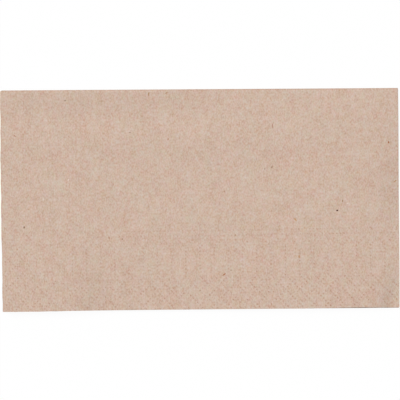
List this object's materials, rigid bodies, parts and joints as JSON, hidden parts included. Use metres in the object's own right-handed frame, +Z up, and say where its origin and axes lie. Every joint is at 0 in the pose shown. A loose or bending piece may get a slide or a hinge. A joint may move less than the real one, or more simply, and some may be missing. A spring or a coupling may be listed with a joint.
{
  "type": "paper napkin",
  "caption": "Flat, oblong folded napkin of brown recycled tissue paper, its layers showing at the cut edges beside an embossed dotted border; for wiping hands and mouth.",
  "frame": {"origin": "centre of the napkin's outline, on the surface that it lies on", "axes": "+X along the long side from the cut ends to the first fold, +Y from the cut edges to the last fold, +Z up from the underside"},
  "size_m": [0.1904, 0.1054, 0.0041],
  "materials": {
    "tissue_paper": "matte, creped, unbleached recycled tissue"
  },
  "bodies": {
    "root": {"napkin": "tissue_paper"}
  },
  "joints": []
}
